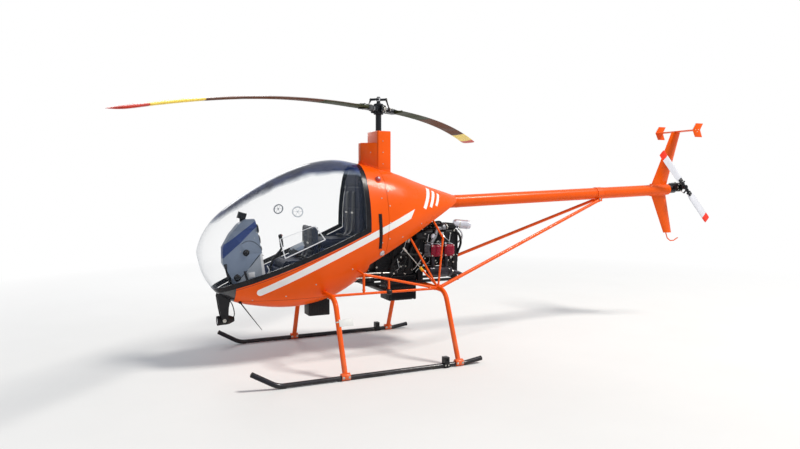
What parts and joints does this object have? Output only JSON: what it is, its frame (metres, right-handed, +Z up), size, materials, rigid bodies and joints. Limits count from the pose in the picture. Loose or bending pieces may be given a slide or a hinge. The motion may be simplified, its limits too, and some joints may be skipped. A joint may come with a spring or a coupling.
{
  "type": "light helicopter",
  "caption": "Small skid-gear helicopter with a bubble canopy, orange pod and open tube frame, a turning main rotor and tail rotor, and a side-hinged canopy.",
  "frame": {"origin": "on the ground under the middle of the whole machine's box", "axes": "+X towards the nose, +Y to port, +Z up"},
  "size_m": [6.2826, 4.4462, 2.3],
  "materials": {
    "orange_shell": "gloss orange paint on a composite shell",
    "orange_tube": "gloss orange paint on tube",
    "black_composite": "clear coated black weave",
    "black_steel": "black powder coat",
    "cabin_grey": "dark blue grey moulding",
    "seat_leather": "dark blue stitched covers",
    "console_grey": "satin blue grey paint",
    "black_plastic": "satin black",
    "cast_alloy": "raw casting",
    "red_cover": "dark red paint",
    "black_engine": "heat darkened black",
    "signal_lens": "moulded lens",
    "black_rail": "black frame",
    "canopy_acrylic": "clear blown sheet",
    "bright_steel": "ground steel",
    "blade_paint": "painted blade",
    "white_blade": "gloss white with red tips"
  },
  "bodies": {
    "airframe": {"cabin_shell": "orange_shell", "rear_cowl": "orange_shell", "mast_fairing": "orange_shell", "upper_fin": "orange_shell", "lower_fin": "orange_shell", "stabiliser": "orange_shell", "front_cross_tube": "orange_tube", "rear_cross_tube": "orange_tube", "frame_port": "orange_tube", "frame_starboard": "orange_tube", "frame_diagonals": "orange_tube", "tail_strut_port": "orange_tube", "tail_strut_starboard": "orange_tube", "tail_boom": "orange_tube", "boom_collar": "orange_tube", "tail_skid": "orange_tube", "nose_cap": "black_composite", "skid_port": "black_steel", "skid_starboard": "black_steel", "skid_fittings": "black_steel", "engine_bearers": "black_steel", "canopy_pins": "black_steel", "firewall": "cabin_grey", "cabin_floor": "cabin_grey", "seat_box": "cabin_grey", "front_cushion": "seat_leather", "front_backrest": "seat_leather", "rear_cushion": "seat_leather", "rear_backrest": "seat_leather", "instrument_console": "console_grey", "compass": "black_plastic", "collective_lever": "black_plastic", "cyclic_stick": "black_plastic", "pedals": "black_plastic", "landing_light": "black_plastic", "belly_box": "black_plastic", "battery_box": "black_plastic", "engine_block": "cast_alloy", "main_gearbox": "cast_alloy", "tail_gearbox": "cast_alloy", "cylinder_covers": "red_cover", "radiator": "black_engine", "belt_housing": "black_engine", "exhaust": "black_engine", "air_intake": "black_engine", "position_lights": "signal_lens"},
    "canopy": {"canopy_frame": "black_rail", "canopy_glass": "canopy_acrylic"},
    "main_rotor": {"rotor_mast": "bright_steel", "rotor_hub": "black_steel", "blade_port": "blade_paint", "blade_starboard": "blade_paint"},
    "tail_rotor": {"tail_hub": "black_steel", "tail_blades": "white_blade"}
  },
  "joints": [
    {"name": "canopy_hinge", "type": "hinge", "parent": "airframe", "child": "canopy", "pos_m": [1.48725, -0.392, 0.9452], "axis": [0.9244, 0, -0.3815], "range_deg": [0, 60]},
    {"name": "main_rotor_spin", "type": "hinge", "parent": "airframe", "child": "main_rotor", "pos_m": [0.86725, 0, 2.19], "axis": [0, 0, 1], "continuous": true},
    {"name": "tail_rotor_spin", "type": "hinge", "parent": "airframe", "child": "tail_rotor", "pos_m": [-2.75275, 0.16, 1.492], "axis": [0, 1, 0], "continuous": true}
  ]
}
